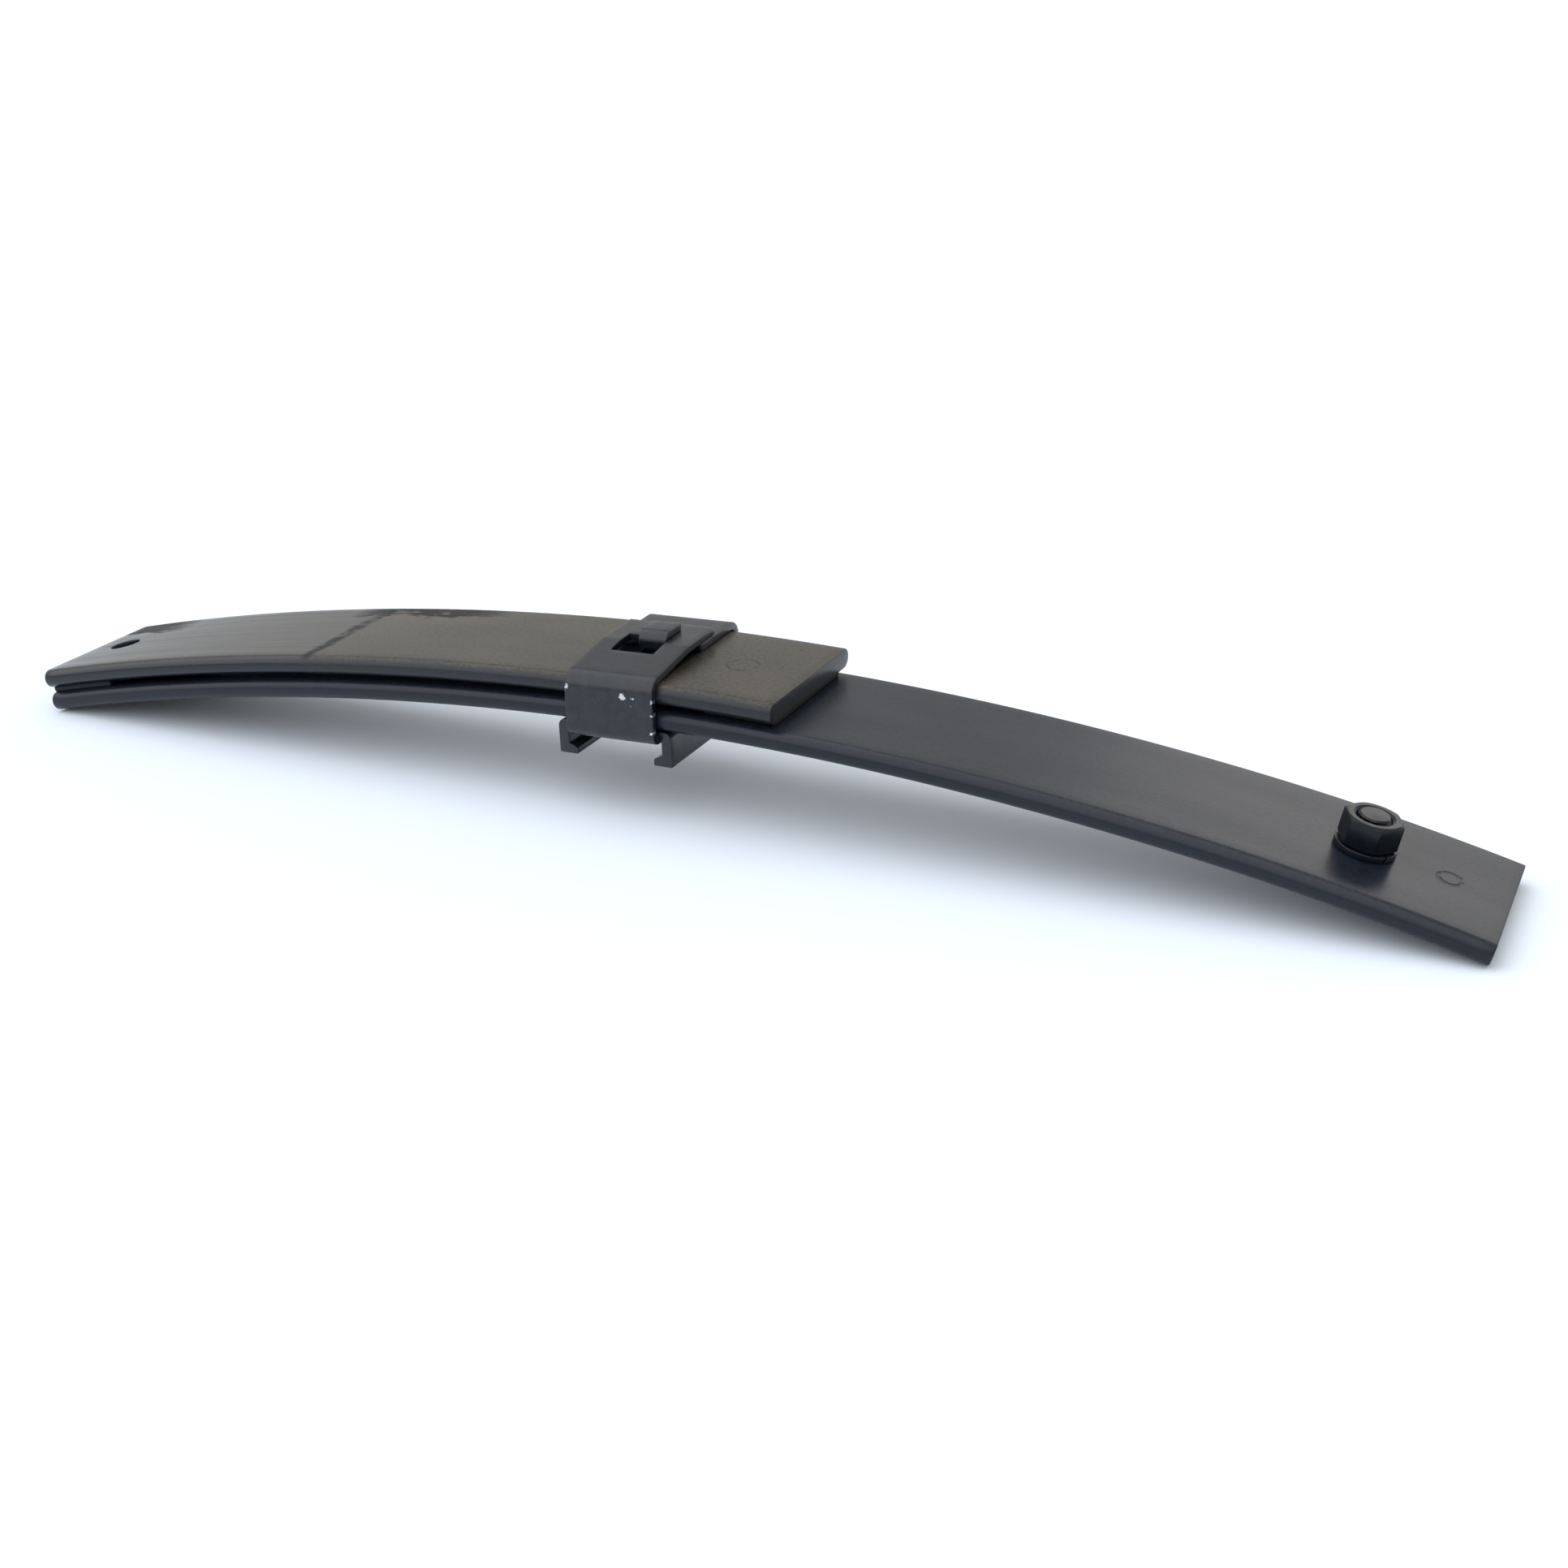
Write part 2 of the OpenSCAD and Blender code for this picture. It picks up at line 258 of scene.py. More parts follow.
def build_mesh(name, points, faces, bar=None):
    """A mesh object from points and faces. bar gives each point's place along and across the flat bar."""
    used = sorted({i for f in faces for i in f})
    place = {old: new for new, old in enumerate(used)}
    mesh = bpy.data.meshes.new(name)
    mesh.from_pydata([tuple(points[i]) for i in used], [], [[place[i] for i in f] for f in faces])
    bar = points if bar is None else bar
    store = mesh.attributes.new("bar", "FLOAT_VECTOR", "POINT")
    store.data.foreach_set("vector", np.asarray(bar, np.float32)[used].ravel())
    tidy = bmesh.new()
    tidy.from_mesh(mesh)
    bmesh.ops.recalc_face_normals(tidy, faces=tidy.faces)
    tidy.to_mesh(mesh)
    tidy.free()
    obj = bpy.data.objects.new(name, mesh)
    bpy.context.scene.collection.objects.link(obj)
    return obj


def wrap(loops, size, closed=False, left_out=()):
    """Faces between neighbouring loops of size points each. left_out holds (loop, point) of the gaps."""
    faces = []
    for i in range(loops if closed else loops - 1):
        for k in range(size):
            if (i, k) not in left_out:
                n, over = (k + 1) % size, (i + 1) % loops
                faces.append((i * size + k, i * size + n, over * size + n, over * size + k))
    return faces


def soften(obj, width, sharper_than):
    """Rounds the edges that turn by more than an angle in degrees."""
    bevel = obj.modifiers.new("edges", "BEVEL")
    bevel.width = width
    bevel.segments = 3
    bevel.limit_method = "ANGLE"
    bevel.angle_limit = math.radians(sharper_than)
    bevel.use_clamp_overlap = True
    bpy.context.view_layer.update()
    shaped = obj.evaluated_get(bpy.context.evaluated_depsgraph_get())
    mesh = bpy.data.meshes.new_from_object(shaped)
    obj.modifiers.clear()
    obj.data = mesh


def smooth(obj):
    """Smooth shading, with the edges that turn more than an angle kept sharp."""
    obj.data.shade_smooth()
    obj.data.set_sharp_from_angle(angle=SHARP_ANGLE)


def finish_piece(obj, slot, material, *nodes):
    """Paints a piece, and hides the CAD nodes it stands for."""
    obj.data.materials.clear()
    obj.data.materials.append(material)
    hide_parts(*nodes)


# ---------------------------------------------------------------- leaves and pads

# Half side and cell of the patch of faces round a hole, and the rounding of the hole's rim
PATCH_HALF = 12 * MM
PATCH_CELLS = 12
RIM_R = 0.5 * MM
# Rounding where the bar was cut off
CUT_R = 0.5 * MM


def bar_section(half_w, thick, corner):
    """The loop round a flat bar as rows of (y, h, outward y, outward h), with h from 0 down.

    It also gives how many points the top row has, and how many one edge has.
    """
    flat = half_w - corner
    inner = np.linspace(-PATCH_HALF, PATCH_HALF, PATCH_CELLS + 1)
    outer = np.linspace(PATCH_HALF, flat, 6)[1:]
    ys = np.concatenate([-outer[::-1], inner, outer])
    full_round = abs(2 * corner - thick) < HAIR
    steps = 8 if full_round else 3
    upper = np.radians(np.linspace(90, 0, steps + 1)[1:])
    lower = -upper[::-1] if not full_round else -upper[:-1][::-1]
    edge = []
    for turns, centre in ((upper, -corner), (lower, corner - thick)):
        for a in turns:
            out, up = math.cos(a), math.sin(a)
            edge.append((flat + corner * out, corner * up + centre, out, up))
    top = [(y, 0.0, 0.0, 1.0) for y in ys]
    under = [(y, -thick, 0.0, -1.0) for y in ys[::-1]]
    far = [(-y, h, -ny, nh) for y, h, ny, nh in edge[::-1]]
    return np.array(top + edge + under + far), len(ys), len(edge)


def bar_stations(start, end, hole_places):
    """Distances along a bar at which its section is drawn, closer together round a hole."""
    marks = [start]
    for hole in hole_places:
        cells = hole + np.linspace(-PATCH_HALF, PATCH_HALF, PATCH_CELLS + 1)
        marks += spaced(marks[-1], cells[0]) + list(cells[1:])
    return marks + spaced(marks[-1], end)


def spaced(start, end, step=4 * MM):
    """Even distances after start, up to end."""
    count = max(1, round((end - start) / step))
    return [start + (end - start) * (i + 1) / count for i in range(count)]


def leaf_bar(name, start, end, half_w, thick, corner, top_h, holes=(), cut_ends=(True, True)):
    """A flat bar bent along the arch, from one distance to another, with round holes through it.

    holes is a list of (distance, radius). A cut end is rounded a little at its rim.
    """
    section, across, edge = bar_section(half_w, thick, corner)
    around = len(section)
    round_in = [(CUT_R * (1 - math.cos(a)), CUT_R * (1 - math.sin(a))) for a in np.radians([0, 30, 60])]
    inner = bar_stations(
        start + (CUT_R if cut_ends[0] else 0), end - (CUT_R if cut_ends[1] else 0), [h[0] for h in holes]
    )
    rows = [(s, 0.0) for s in inner]
    if cut_ends[0]:
        rows = [(start + ds, inset) for ds, inset in round_in] + rows
    if cut_ends[1]:
        rows = rows + [(end - ds, inset) for ds, inset in round_in[::-1]]
    bar = [
        (s, y - ny * inset, h - nh * inset + top_h) for s, inset in rows for y, h, ny, nh in section
    ]
    # The patches round the holes are left out of the grid, on the top and underneath
    patches = set()
    for hole_s, _ in holes:
        for i, (s, _) in enumerate(rows[:-1]):
            for c in range(across - 1):
                if all(-PATCH_HALF - HAIR < v < PATCH_HALF - HAIR for v in (s - hole_s, section[c][0])):
                    patches |= {(i, c), (i, 2 * across + edge - 2 - c)}
    faces = wrap(len(rows), around, left_out=patches)
    for row in (0, len(rows) - 1):
        faces += end_ladder(row * around, across, edge)
    for hole in holes:
        add_hole(bar, faces, rows, section, across, edge, hole, top_h, thick)
    bar = np.array(bar)
    points = on_arch(bar[:, 0], bar[:, 1], bar[:, 2])
    return build_mesh(name, points, faces, bar)


def end_ladder(base, across, edge):
    """Faces that close a cut end, each from the upper half of the loop to the lower half."""
    under_first = across + edge
    far_first = under_first + across
    # The loop from the middle of one edge, over the top, to the middle of the other, and its mirror
    half = edge // 2
    over = [far_first + edge - half + i for i in range(half)] + list(range(across))
    over += [across + i for i in range(half)]
    below = [far_first + half - 1 - i for i in range(half)]
    below += [under_first + across - 1 - i for i in range(across)]
    below += [under_first - 1 - i for i in range(half)]
    faces = []
    for i in range(len(over) - 1):
        faces.append((base + over[i], base + over[i + 1], base + below[i + 1], base + below[i]))
    if edge % 2:
        faces.append((base + far_first + half, base + over[0], base + below[0]))
        faces.append((base + across + half, base + below[-1], base + over[-1]))
    return faces


def add_hole(bar, faces, rows, section, across, edge, hole, top_h, thick):
    """Fills the two patches round a hole with rings, and joins them with the hole's wall."""
    hole_s, radius = hole
    around = len(section)
    first = min(range(len(rows)), key=lambda i: abs(rows[i][0] - hole_s + PATCH_HALF))
    cols = [c for c in range(across) if abs(section[c][0]) < PATCH_HALF + HAIR]
    n = PATCH_CELLS
    walk = [(i, 0) for i in range(n)] + [(n, j) for j in range(n)]
    walk += [(n - i, n) for i in range(n)] + [(0, n - j) for j in range(n)]
    turns = [math.radians(-135 + 360 * k / len(walk)) for k in range(len(walk))]
    under_first = across + edge

    def rim(under):
        mirror = [under_first + across - 1 - c for c in cols] if under else cols
        return [(first + i) * around + mirror[j] for i, j in walk]

    def ring(make):
        start = len(bar)
        bar.extend(make(k, t) for k, t in enumerate(turns))
        return list(range(start, start + len(turns)))

    def circle(r, h):
        return ring(lambda k, t: (hole_s + r * math.cos(t), r * math.sin(t), h))

    def bridge(a, b):
        for k in range(len(a)):
            m = (k + 1) % len(a)
            faces.append((a[k], a[m], b[m], b[k]))

    walls = []
    for under, sign, h in ((False, 1, top_h), (True, -1, top_h - thick)):
        last = rim(under)
        for share in (0.3, 0.6, 0.85):
            outer = [bar[i] for i in rim(under)]
            r = radius + RIM_R
            new = ring(
                lambda k, t, share=share, outer=outer, h=h: (
                    outer[k][0] * (1 - share) + (hole_s + r * math.cos(t)) * share,
                    outer[k][1] * (1 - share) + r * math.sin(t) * share,
                    h,
                )
            )
            bridge(last, new)
            last = new
        for a in np.radians([90, 60, 30, 0]):
            r = radius + RIM_R * (1 - math.cos(a))
            new = circle(r, h - sign * RIM_R * (1 - math.sin(a)))
            bridge(last, new)
            last = new
        walls.append(last)
    bridge(walls[0], walls[1])


# ---------------------------------------------------------------- bars bent in the press

# Sideways lean of the strap, as a share of the depth below its top
STRAP_LEAN = 0.02
BEND_STEP = math.radians(9)
RUN_STEP = 3 * MM


def bent_path(steps, thick):
    """Samples (distance, point, direction to the left) of a flat bar's left face, along a path.

    The path starts at the origin. A step of it is (length, turn to the left, inside radius), and a
    negative turn goes right. The number of the sample at which each step begins or ends is given too.
    """
    at, heading, along = np.zeros(2), 0.0, 0.0
    rows = [(along, at.copy(), left_of(heading))]
    marks = [0]
    for length, turn, inside in steps:
        parts = max(1, round(length / RUN_STEP))
        for i in range(parts):
            point = at + (i + 1) / parts * length * ahead_of(heading)
            rows.append((along + (i + 1) / parts * length, point, left_of(heading)))
        at = rows[-1][1]
        along += length
        if turn:
            axis_d = inside if turn > 0 else -(inside + thick)
            axis = at + axis_d * left_of(heading)
            parts = max(2, math.ceil(abs(turn) / BEND_STEP))
            bend_len = abs(turn) * (inside + thick / 2)
            for i in range(parts):
                h = heading + turn * (i + 1) / parts
                rows.append((along + bend_len * (i + 1) / parts, axis - axis_d * left_of(h), left_of(h)))
            heading += turn
            at = rows[-1][1]
            along += bend_len
        marks.append(len(rows) - 1)
    return rows, marks


def ahead_of(heading):
    return np.array([math.cos(heading), math.sin(heading)])


def left_of(heading):
    return np.array([-math.sin(heading), math.cos(heading)])


def bent_bar(name, rows, thick, columns, alive, to_local):
    """A bar of one thickness from samples of its left face.

    columns gives the places across it at a sample, alive says whether a cell is metal, and to_local
    turns (path x, path y, place across) into the piece's own frame.
    """
    across = len(columns(0))
    points, bar = [], []
    for side in (0, 1):
        for i, (along, point, left) in enumerate(rows):
            px, py = point - side * thick * left
            for q in columns(i):
                points.append(to_local(px, py, q))
                bar.append((along, q, -side * thick))
    face_size = len(rows) * across

    def at(side, i, j):
        return side * face_size + i * across + j

    def cell(i, j):
        return 0 <= i < len(rows) - 1 and 0 <= j < across - 1 and alive(i, j)

    faces = []
    for i in range(len(rows) - 1):
        for j in range(across - 1):
            if not cell(i, j):
                continue
            ring = [(i, j), (i, j + 1), (i + 1, j + 1), (i + 1, j)]
            faces.append([at(0, *p) for p in ring])
            faces.append([at(1, *p) for p in ring[::-1]])
            for k, (di, dj) in enumerate([(-1, 0), (0, 1), (1, 0), (0, -1)]):
                if not cell(i + di, j + dj):
                    a, b = ring[k], ring[(k + 1) % 4]
                    faces.append([at(0, *b), at(0, *a), at(1, *a), at(1, *b)])
    return build_mesh(name, points, faces, bar)


# ---------------------------------------------------------------- materials


def add_node(tree, kind, inputs=None, output=0, **options):
    """Adds a shader node with its options, sets or links its inputs, and gives back one of its outputs."""
    node = tree.nodes.new("ShaderNode" + kind)
    for key, value in options.items():
        setattr(node, key, value)
    for key, value in (inputs or {}).items():
        if isinstance(value, bpy.types.NodeSocket):
            tree.links.new(value, node.inputs[key])
        else:
            node.inputs[key].default_value = value
    return node.outputs[output] if node.outputs else None


# Settings of the node that gives a point's place along and across its bar, in metres
BAR_PLACE = {"output": "Vector", "attribute_name": "bar"}


def rgba(colour):
    """A colour with full alpha, as a socket wants it."""
    return (*colour, 1.0)


def start_material(name):
    """An empty material and the function that adds its nodes."""
    material = bpy.data.materials.new(name)
    material.use_nodes = True
    tree = material.node_tree
    tree.nodes.clear()
    return material, functools.partial(add_node, tree)


def cells(node, coords, size_mm, detail=2.0, seed=0.0):
    """A soft random pattern, 0 to 1, whose cells have this size in mm along, across and through the bar."""
    scale = tuple(1 / (v * MM) for v in size_mm)
    placed = node("Mapping", {"Vector": coords, "Scale": scale, "Location": (seed, seed, seed)})
    return node("TexNoise", {"Vector": placed, "Scale": 1.0, "Detail": detail, "Roughness": 0.55})


def spots(node, coords, places, raggedness):
    """1 inside any spot (mm along the bar, mm across it, mm in diameter), with ragged edges."""
    noise = cells(node, coords, (1.1, 1.1, 1.1), 2, seed=0.7)
    ragged = node("MapRange", {0: noise, 1: 0.3, 2: 0.7, 3: -raggedness, 4: raggedness})
    covered = None
    for along, across, size in places:
        place = {"Vector": coords, "Scale": (1000, 1000, 0), "Location": (-along, -across, 0)}
        away = node("VectorMath", {0: node("Mapping", place)}, "Value", operation="LENGTH")
        away = node("Math", {0: away, 1: ragged}, operation="ADD")
        spot = node("MapRange", {0: away, 1: size / 2 - 0.15, 2: size / 2 + 0.15, 3: 1.0, 4: 0.0})
        if covered is None:
            covered = spot
        else:
            covered = node("Math", {0: covered, 1: spot}, operation="MAXIMUM")
    return covered


def shade(node, base, roughness, height, depth_mm, **others):
    """The surface shader with its bump, and the output."""
    bump = node("Bump", {"Height": height, "Strength": 1.0, "Distance": depth_mm * MM})
    inputs = {"Base Color": base, "Roughness": roughness, "Normal": bump, **others}
    node("OutputMaterial", {"Surface": node("BsdfPrincipled", inputs)})


def leaf_enamel(name, upper):
    """Semi-gloss chassis enamel, dipped over rolled spring steel.

    It gives a near-black film with a broad soft sheen, a fine speckle where the mill scale's pits show
    through, a thin film of dust that greys it, a few nicks and a worn punched ring with painted shade in
    its groove. The upper leaf also has a smoother wiped stretch at the clamped end, a dark witness line,
    two scaled patches and painted shade on its top under the clip.
    """
    colours = settings().finish
    material, node = start_material(name)
    coords = node("Attribute", **BAR_PLACE)
    run_off = cells(node, coords, (120, 26, 26), 2)
    cloud = cells(node, coords, (38, 22, 22), 3, seed=4.2)
    # The scale's pits are about 0.4 mm, drawn at 1.4 mm so that they show
    pits = cells(node, coords, (1.6, 1.3, 1.3), 3, seed=9.1)
    peel = cells(node, coords, (3.2, 2.4, 2.4), 1, seed=2.7)
    roughness = node("MapRange", {0: run_off, 1: 0.2, 2: 0.8, 3: 0.27, 4: 0.37})
    dust = node("MapRange", {0: cloud, 1: 0.3, 2: 0.75, 3: 0.45, 4: 1.0})
    grain = node("MapRange", {0: pits, 1: 0.3, 2: 0.7, 3: 0.1, 4: 1.9})
    dust = node("Math", {0: dust, 1: grain}, operation="MULTIPLY")
    # Dust lies on what faces up, and hardly on the edges
    upward = node("SeparateXYZ", {0: node("NewGeometry", output="Normal")}, "Z")
    lying = node("MapRange", {0: upward, 1: 0.55, 2: 0.95, 3: 0.12, 4: 1.0})
    dust = node("Math", {0: dust, 1: lying}, operation="MULTIPLY")
    if upper:
        dust, roughness, line, patch = upper_marks(node, coords, dust, roughness, lying)
        film = node(
            "Mix", {0: dust, 6: rgba(colours.enamel), 7: rgba(colours.upper_dust)}, 2, data_type="RGBA"
        )
        # The clamp's smear, then the patch's scale with a little rust in it
        film = node("Mix", {0: line, 6: film, 7: rgba(colours.witness)}, 2, data_type="RGBA")
        flecks = cells(node, coords, (2.6, 1.6, 1.6), 2, seed=6.1)
        flecks = node("MapRange", {0: flecks, 1: 0.60, 2: 0.68})
        scaled = node("Mix", {0: flecks, 6: rgba(colours.scale), 7: rgba(colours.rust)}, 2, data_type="RGBA")
        film = node("Mix", {0: patch, 6: film, 7: scaled}, 2, data_type="RGBA")
        places = [(525, -29, 1.6), (242.4, 28.5, 1.9), (341, 3, 1.4), (242, -30, 1.5), (241.4, -24, 0.8)]
        ring = (327, -2, 6)
    else:
        dust = node("Math", {0: dust, 1: 0.5}, operation="MULTIPLY")
        film = node(
            "Mix", {0: dust, 6: rgba(colours.enamel), 7: rgba(colours.main_dust)}, 2, data_type="RGBA"
        )
        places = [(460, -5, 1.3), (505, -2, 1.2), (525, -29, 1.8), (573, 12, 1.0)]
        ring = (587.3, 0.4, 4)
    nicks = spots(node, coords, places, 0.5)
    film = node("Mix", {0: nicks, 6: film, 7: rgba(colours.enamel)}, 2, data_type="RGBA")
    # A plain punched ring, worn at places, with painted shade in its groove: the film goes back to bare
    # enamel there
    place = {"Vector": coords, "Scale": (1000, 1000, 0), "Location": (-ring[0], -ring[1], 0)}
    away = node("VectorMath", {0: node("Mapping", place)}, "Value", operation="LENGTH")
    away = node("Math", {0: away, 1: ring[2]}, operation="SUBTRACT")
    away = node("Math", {0: away}, operation="ABSOLUTE")
    groove = node("MapRange", {0: away, 1: 0.2, 2: 1.0, 3: 1.0, 4: 0.0})
    worn = node("MapRange", {0: cells(node, coords, (5, 5, 5), 2, seed=3.1), 1: 0.35, 2: 0.55})
    groove = node("Math", {0: groove, 1: worn}, operation="MULTIPLY")
    # The groove is painted darker: painted shade in the recess
    groove_shade = node("Math", {0: groove, 1: 0.7}, operation="MULTIPLY")
    film = node("Mix", {0: groove_shade, 6: film, 7: rgba(colours.enamel)}, 2, data_type="RGBA")
    height = node("Mix", {0: 0.45, 2: peel, 3: pits}, data_type="FLOAT")
    sunk = node("Math", {0: groove, 1: 9.0}, operation="MULTIPLY")
    height = node("Math", {0: height, 1: sunk}, operation="SUBTRACT")
    shade(node, film, roughness, height, 0.04, IOR=1.45 if upper else 1.40)
    return material


def upper_marks(node, coords, dust, roughness, lying):
    """The upper leaf's dust and roughness with its own marks, its witness line, its scaled patches and the
    painted shade under the clip.
    """
    s = node("SeparateXYZ", {0: coords}, "X")
    y = node("SeparateXYZ", {0: coords}, "Y")
    wobble = node(
        "MapRange", {0: cells(node, coords, (9, 9, 9), 2, seed=1.3), 1: 0.3, 2: 0.7, 3: -MM, 4: MM}
    )
    # The marks run a little askew across the leaf
    askew = node("Math", {0: y, 1: 0.04}, operation="MULTIPLY")
    edge = node("Math", {0: s, 1: wobble}, operation="ADD")
    edge = node("Math", {0: edge, 1: askew}, operation="ADD")
    # The clamped end was wiped before it was painted: smoother, with faint streaks along it
    rough_side = node("MapRange", {0: edge, 1: 143 * MM, 2: 147 * MM})
    streak = cells(node, coords, (220, 2.6, 2.6), 2, seed=6.6)
    wiped = node("MapRange", {0: streak, 1: 0.2, 2: 0.8, 3: 0.17, 4: 0.30})
    roughness = node("Mix", {0: rough_side, 2: wiped, 3: roughness}, data_type="FLOAT")
    dust = node(
        "Math", {0: dust, 1: node("MapRange", {0: rough_side, 3: 0.45, 4: 1.15})}, operation="MULTIPLY"
    )
    # Dust is taken off the top under the clip, so the leaf is darker there: painted shade, seen through the
    # clip's window
    clip = settings().clip
    from_clip = node("Math", {0: s, 1: clip.middle_s}, operation="SUBTRACT")
    from_clip = node("Math", {0: from_clip}, operation="ABSOLUTE")
    outside_clip_shade = node("MapRange", {0: from_clip, 1: clip.bar_w * 0.42, 2: clip.bar_w * 0.5})
    dust = node("Math", {0: dust, 1: outside_clip_shade}, operation="MULTIPLY")
    # A dark smear across the leaf's top, left by a clamp
    line = node("Math", {0: edge, 1: 145 * MM}, operation="SUBTRACT")
    line = node("Math", {0: line}, operation="ABSOLUTE")
    line = node("MapRange", {0: line, 1: 1.0 * MM, 2: 4.0 * MM, 3: 1.0, 4: 0.0})
    broken = node("MapRange", {0: cells(node, coords, (6, 5, 6), 2), 1: 0.4, 2: 0.6, 3: 0.3, 4: 1.0})
    line = node("Math", {0: line, 1: broken}, operation="MULTIPLY")
    line = node("Math", {0: line, 1: lying}, operation="MULTIPLY")
    # A patch of thick scale along the far edge, and a short one at the clamped end
    ragged = cells(node, coords, (14, 6, 6), 4, seed=7.7)
    ragged = node("MapRange", {0: ragged, 1: 0.3, 2: 0.7, 3: -7 * MM, 4: 7 * MM})
    ragged = node("Math", {0: y, 1: ragged}, operation="ADD")
    patch = 0
    for rise, full, fade, end, reach in ((128, 142, 186, 208, 21), (-6, 4, 22, 40, 15)):
        starts = node("MapRange", {0: s, 1: rise * MM, 2: full * MM})
        stops = node("MapRange", {0: s, 1: fade * MM, 2: end * MM, 3: 1.0, 4: 0.0})
        far = node("MapRange", {0: ragged, 1: reach * MM, 2: (reach + 3) * MM})
        along = node("Math", {0: starts, 1: stops}, operation="MULTIPLY")
        along = node("Math", {0: along, 1: far}, operation="MULTIPLY")
        patch = node("Math", {0: along, 1: patch}, operation="ADD")
    marked = node("Math", {0: patch, 1: line}, operation="MAXIMUM")
    clean = node("Math", {0: 1.0, 1: marked}, operation="SUBTRACT")
    dust = node("Math", {0: dust, 1: clean}, operation="MULTIPLY")
    rougher = node("Math", {0: marked, 1: 0.35}, operation="MULTIPLY")
    roughness = node("Math", {0: roughness, 1: rougher}, operation="ADD")
    return dust, roughness, line, node("Math", {0: patch, 1: 0.8}, operation="MULTIPLY")


def clip_enamel(name, chips):
    """Semi-gloss enamel over hot-rolled strip, chipped to bright steel on the bends and corners.

    It gives a blue-black film with a soft mottle from the strip's scale, and bare steel in the chips.
    chips holds (distance along the bar in mm, place across it in mm, size in mm).
    """
    colours = settings().finish
    material, node = start_material(name)
    coords = node("Attribute", **BAR_PLACE)
    mottle = cells(node, coords, (5, 4, 4), 3, seed=5.5)
    # Scale pits are about 0.4 mm, drawn at 1 mm so that they show
    pits = cells(node, coords, (1.0, 1.0, 1.0), 3, seed=8.3)
    dusty = node("MapRange", {0: mottle, 1: 0.35, 2: 0.7, 3: 0.0, 4: 0.45})
    grain = node("MapRange", {0: pits, 1: 0.3, 2: 0.7, 3: 0.3, 4: 1.7})
    dusty = node("Math", {0: dusty, 1: grain}, operation="MULTIPLY")
    film = node(
        "Mix", {0: dusty, 6: rgba(colours.clip_paint), 7: rgba(colours.main_dust)}, 2, data_type="RGBA"
    )
    roughness = node("MapRange", {0: mottle, 1: 0.3, 2: 0.7, 3: 0.24, 4: 0.36})
    height = node("Mix", {0: 0.4, 2: mottle, 3: pits}, data_type="FLOAT")
    bare = spots(node, coords, chips, 0.7)
    colour = node("Mix", {0: bare, 6: film, 7: rgba(colours.steel)}, 2, data_type="RGBA")
    roughness = node("Mix", {0: bare, 2: roughness, 3: 0.38}, data_type="FLOAT")
    sunk = node("Math", {0: bare, 1: 1.5}, operation="MULTIPLY")
    height = node("Math", {0: height, 1: sunk}, operation="SUBTRACT")
    # The shader's own IOR of 1.5 stays: it serves the bare steel too
    shade(node, colour, roughness, height, 0.04, Metallic=bare)
    return material


def bolt_enamel(name):
    """Thin semi-gloss enamel over forged and turned hardware.

    It gives slate-black flats with a fine forged grain, a little glossier where the paint has pooled.
    """
    colours = settings().finish
    material, node = start_material(name)
    place = node("TexCoord", output="Object")
    forged = cells(node, place, (2.2, 2.2, 2.2), 3, seed=1.9)
    pooled = cells(node, place, (7, 7, 7), 2, seed=4.4)
    dusty = node("MapRange", {0: forged, 1: 0.4, 2: 0.75, 3: 0.0, 4: 0.05})
    colour = node(
        "Mix", {0: dusty, 6: rgba(colours.bolt_paint), 7: rgba(colours.main_dust)}, 2, data_type="RGBA"
    )
    roughness = node("MapRange", {0: pooled, 1: 0.3, 2: 0.7, 3: 0.2, 4: 0.34})
    shade(node, colour, roughness, forged, 0.03, IOR=1.38)
    return material


def shim_enamel(name):
    """Mild-steel shim under the same enamel, brushed on: dull, with the brush marks along the leaf."""
    colours = settings().finish
    material, node = start_material(name)
    coords = node("Attribute", **BAR_PLACE)
    brushed = cells(node, coords, (30, 1.0, 1.0), 2, seed=2.2)
    dusty = node("MapRange", {0: brushed, 1: 0.3, 2: 0.8, 3: 0.0, 4: 0.3})
    colour = node(
        "Mix", {0: dusty, 6: rgba(colours.enamel), 7: rgba(colours.main_dust)}, 2, data_type="RGBA"
    )
    roughness = node("MapRange", {0: brushed, 1: 0.3, 2: 0.7, 3: 0.7, 4: 0.85})
    shade(node, colour, roughness, brushed, 0.04, IOR=1.45)
    return material


def liner_nylon(name):
    """Moulded black nylon anti-friction pad: matt, with a fine spark-eroded grain and worn grey patches."""
    colours = settings().finish
    material, node = start_material(name)
    coords = node("Attribute", **BAR_PLACE)
    grain = cells(node, coords, (0.8, 0.8, 0.8), 2, seed=3.6)
    worn = cells(node, coords, (9, 6, 6), 2, seed=5.2)
    dusty = node("MapRange", {0: worn, 1: 0.55, 2: 0.8, 3: 0.0, 4: 0.4})
    colour = node(
        "Mix", {0: dusty, 6: rgba(colours.plastic), 7: rgba(colours.main_dust)}, 2, data_type="RGBA"
    )
    roughness = node("MapRange", {0: grain, 1: 0.3, 2: 0.7, 3: 0.7, 4: 0.85})
    shade(node, colour, roughness, grain, 0.05, IOR=1.53)
    return material


def floor_paint(name):
    """Matt white studio floor paint: an even pale ground with a barely seen roller texture."""
    material, node = start_material(name)
    place = node("TexCoord", output="Object")
    roller = cells(node, place, (4, 4, 4), 2)
    shade(node, rgba(settings().finish.floor), 0.9, roller, 0.02, IOR=1.45)
    return material


# ---------------------------------------------------------------- operators


